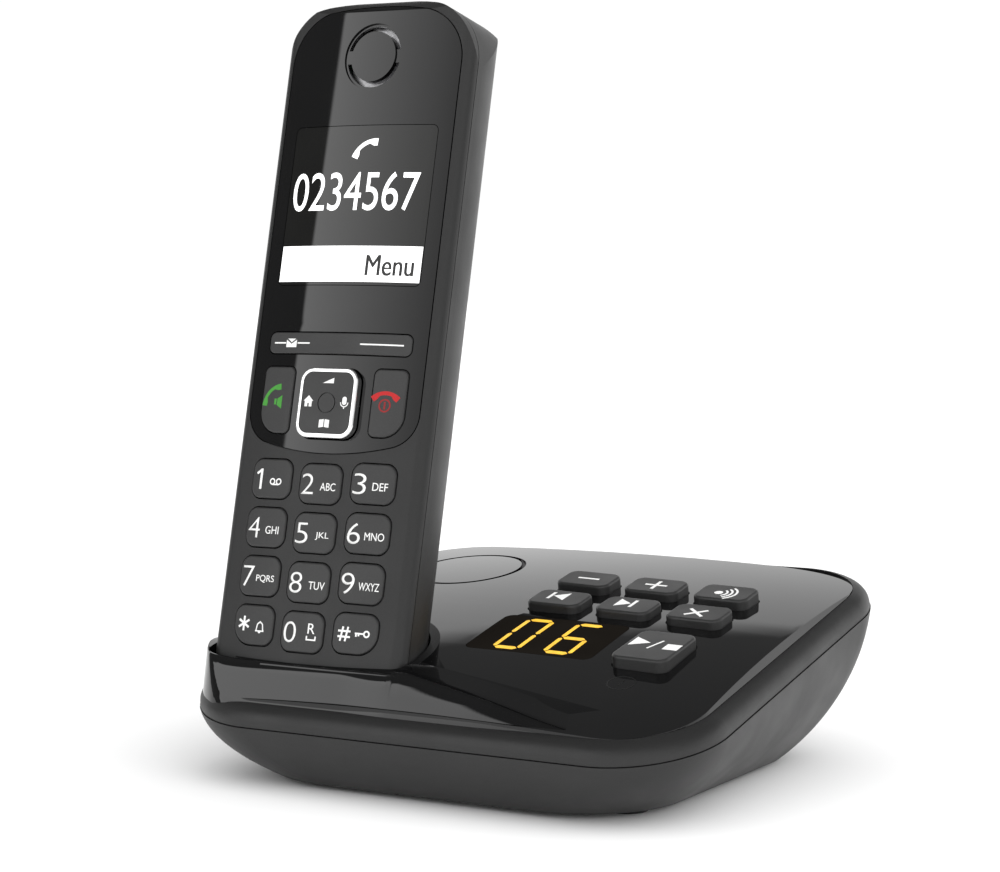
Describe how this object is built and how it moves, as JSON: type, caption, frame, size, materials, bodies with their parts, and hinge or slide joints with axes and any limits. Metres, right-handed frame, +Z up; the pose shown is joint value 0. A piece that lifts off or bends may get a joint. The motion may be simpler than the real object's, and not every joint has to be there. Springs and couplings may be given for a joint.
{
  "type": "cordless phone",
  "caption": "Cordless telephone handset standing in the cradle of an answering-machine base, with keypad, display, message counter, loudspeaker ring and playback keys.",
  "frame": {"origin": "on the table under the middle of the base", "axes": "+X to the right of the keypad, +Y to the back, +Z up"},
  "size_m": [0.126, 0.114, 0.1695],
  "materials": {
    "matt_shell": "fine moulded texture",
    "gloss_shell": "piano black",
    "key_plastic": "satin",
    "chrome_trim": "bright plated",
    "display_glass": "dark window",
    "moulded_black": "moulded",
    "rubber": "dull",
    "board": "solder mask",
    "display_parts": "module frame",
    "speaker_metal": "dull",
    "cell_sleeve": "plain sleeve",
    "contact_metal": "plated",
    "screw_steel": "zinc plated"
  },
  "bodies": {
    "base": {"base_bottom_shell": "matt_shell", "base_rim": "matt_shell", "base_top_cover": "gloss_shell", "base_key_mat": "rubber", "base_key_board": "board", "led_window": "display_glass", "led_display": "display_parts", "base_speaker": "speaker_metal", "contact_carrier": "moulded_black", "base_circuit_board": "board", "base_feet": "rubber", "base_screws": "screw_steel", "line_socket": "moulded_black", "power_socket": "moulded_black"},
    "charge_tips": {"base_charge_tips": "contact_metal"},
    "handset": {"handset_front_shell": "matt_shell", "handset_rear_shell": "matt_shell", "fascia_panel": "gloss_shell", "display_window": "display_glass", "display_module": "display_parts", "keypad_mat": "rubber", "handset_circuit_board": "board", "earpiece_capsule": "moulded_black", "microphone": "moulded_black", "battery_cells": "cell_sleeve", "battery_contacts": "contact_metal", "ringer_speaker": "speaker_metal", "handset_charge_strips": "contact_metal", "handset_screws": "screw_steel"},
    "battery_lid": {"battery_cover": "matt_shell"},
    "navigation_press": {"navigation_post": "moulded_black"},
    "navigation_rocker": {"navigation_plate": "moulded_black"},
    "navigation_key": {"navigation_pad": "key_plastic", "navigation_ring": "chrome_trim"},
    "soft_keys": {"soft_key_bar": "key_plastic"},
    "key_1": {"key_1": "key_plastic"},
    "key_2": {"key_2": "key_plastic"},
    "key_3": {"key_3": "key_plastic"},
    "key_4": {"key_4": "key_plastic"},
    "key_5": {"key_5": "key_plastic"},
    "key_6": {"key_6": "key_plastic"},
    "key_7": {"key_7": "key_plastic"},
    "key_8": {"key_8": "key_plastic"},
    "key_9": {"key_9": "key_plastic"},
    "key_star": {"key_star": "key_plastic"},
    "key_0": {"key_0": "key_plastic"},
    "key_hash": {"key_hash": "key_plastic"},
    "talk_key": {"talk_key": "key_plastic"},
    "end_key": {"end_key": "key_plastic"},
    "volume_down_key": {"volume_down_key": "key_plastic"},
    "volume_up_key": {"volume_up_key": "key_plastic"},
    "paging_key": {"paging_key": "key_plastic"},
    "skip_back_key": {"skip_back_key": "key_plastic"},
    "skip_forward_key": {"skip_forward_key": "key_plastic"},
    "delete_key": {"delete_key": "key_plastic"},
    "play_stop_key": {"play_stop_key": "key_plastic"}
  },
  "joints": [
    {"name": "handset_lift", "type": "slide", "parent": "base", "child": "handset", "axis": [0, 0.225, 0.9744], "range_m": [0, 0.06]},
    {"name": "battery_cover_pull", "type": "slide", "parent": "handset", "child": "battery_lid", "axis": [0, 0.9744, -0.225], "range_m": [0, 0.012]},
    {"name": "charge_tip_press", "type": "slide", "parent": "base", "child": "charge_tips", "axis": [0, 0.225, 0.9744], "range_m": [-0.0006, 0], "stiffness_N_per_m": 800},
    {"name": "soft_key_rock", "type": "hinge", "parent": "handset", "child": "soft_keys", "pos_m": [-0.03204, -0.03066, 0.09394], "axis": [0, 0.225, 0.9744], "range_deg": [-1.5, 1.5], "stiffness_Nm_per_rad": 0.5},
    {"name": "navigation_centre_press", "type": "slide", "parent": "handset", "child": "navigation_press", "axis": [0, 0.9744, -0.225], "range_m": [0, 0.0004], "stiffness_N_per_m": 1500},
    {"name": "navigation_up_down", "type": "hinge", "parent": "navigation_press", "child": "navigation_rocker", "pos_m": [-0.03204, -0.03308, 0.08079], "axis": [1, 0, 0], "range_deg": [-2, 2], "stiffness_Nm_per_rad": 0.3},
    {"name": "navigation_left_right", "type": "hinge", "parent": "navigation_rocker", "child": "navigation_key", "pos_m": [-0.03204, -0.03395, 0.08099], "axis": [0, 0.225, 0.9744], "range_deg": [-2, 2], "stiffness_Nm_per_rad": 0.3},
    {"name": "key_1_press", "type": "slide", "parent": "handset", "child": "key_1", "axis": [0, 0.9744, -0.225], "range_m": [0, 0.0005], "stiffness_N_per_m": 1500},
    {"name": "key_2_press", "type": "slide", "parent": "handset", "child": "key_2", "axis": [0, 0.9744, -0.225], "range_m": [0, 0.0005], "stiffness_N_per_m": 1500},
    {"name": "key_3_press", "type": "slide", "parent": "handset", "child": "key_3", "axis": [0, 0.9744, -0.225], "range_m": [0, 0.0005], "stiffness_N_per_m": 1500},
    {"name": "key_4_press", "type": "slide", "parent": "handset", "child": "key_4", "axis": [0, 0.9744, -0.225], "range_m": [0, 0.0005], "stiffness_N_per_m": 1500},
    {"name": "key_5_press", "type": "slide", "parent": "handset", "child": "key_5", "axis": [0, 0.9744, -0.225], "range_m": [0, 0.0005], "stiffness_N_per_m": 1500},
    {"name": "key_6_press", "type": "slide", "parent": "handset", "child": "key_6", "axis": [0, 0.9744, -0.225], "range_m": [0, 0.0005], "stiffness_N_per_m": 1500},
    {"name": "key_7_press", "type": "slide", "parent": "handset", "child": "key_7", "axis": [0, 0.9744, -0.225], "range_m": [0, 0.0005], "stiffness_N_per_m": 1500},
    {"name": "key_8_press", "type": "slide", "parent": "handset", "child": "key_8", "axis": [0, 0.9744, -0.225], "range_m": [0, 0.0005], "stiffness_N_per_m": 1500},
    {"name": "key_9_press", "type": "slide", "parent": "handset", "child": "key_9", "axis": [0, 0.9744, -0.225], "range_m": [0, 0.0005], "stiffness_N_per_m": 1500},
    {"name": "key_star_press", "type": "slide", "parent": "handset", "child": "key_star", "axis": [0, 0.9744, -0.225], "range_m": [0, 0.0005], "stiffness_N_per_m": 1500},
    {"name": "key_0_press", "type": "slide", "parent": "handset", "child": "key_0", "axis": [0, 0.9744, -0.225], "range_m": [0, 0.0005], "stiffness_N_per_m": 1500},
    {"name": "key_hash_press", "type": "slide", "parent": "handset", "child": "key_hash", "axis": [0, 0.9744, -0.225], "range_m": [0, 0.0005], "stiffness_N_per_m": 1500},
    {"name": "talk_key_press", "type": "slide", "parent": "handset", "child": "talk_key", "axis": [0, 0.9744, -0.225], "range_m": [0, 0.0005], "stiffness_N_per_m": 1500},
    {"name": "end_key_press", "type": "slide", "parent": "handset", "child": "end_key", "axis": [0, 0.9744, -0.225], "range_m": [0, 0.0005], "stiffness_N_per_m": 1500},
    {"name": "volume_down_key_press", "type": "slide", "parent": "base", "child": "volume_down_key", "axis": [-0.0245, 0.1976, -0.98], "range_m": [0, 0.0006], "stiffness_N_per_m": 1500},
    {"name": "volume_up_key_press", "type": "slide", "parent": "base", "child": "volume_up_key", "axis": [-0.0245, 0.1976, -0.98], "range_m": [0, 0.0006], "stiffness_N_per_m": 1500},
    {"name": "paging_key_press", "type": "slide", "parent": "base", "child": "paging_key", "axis": [-0.0245, 0.1976, -0.98], "range_m": [0, 0.0006], "stiffness_N_per_m": 1500},
    {"name": "skip_back_key_press", "type": "slide", "parent": "base", "child": "skip_back_key", "axis": [-0.0245, 0.1976, -0.98], "range_m": [0, 0.0006], "stiffness_N_per_m": 1500},
    {"name": "skip_forward_key_press", "type": "slide", "parent": "base", "child": "skip_forward_key", "axis": [-0.0245, 0.1976, -0.98], "range_m": [0, 0.0006], "stiffness_N_per_m": 1500},
    {"name": "delete_key_press", "type": "slide", "parent": "base", "child": "delete_key", "axis": [-0.0245, 0.1976, -0.98], "range_m": [0, 0.0006], "stiffness_N_per_m": 1500},
    {"name": "play_stop_key_press", "type": "slide", "parent": "base", "child": "play_stop_key", "axis": [-0.0245, 0.1976, -0.98], "range_m": [0, 0.0006], "stiffness_N_per_m": 1500}
  ]
}
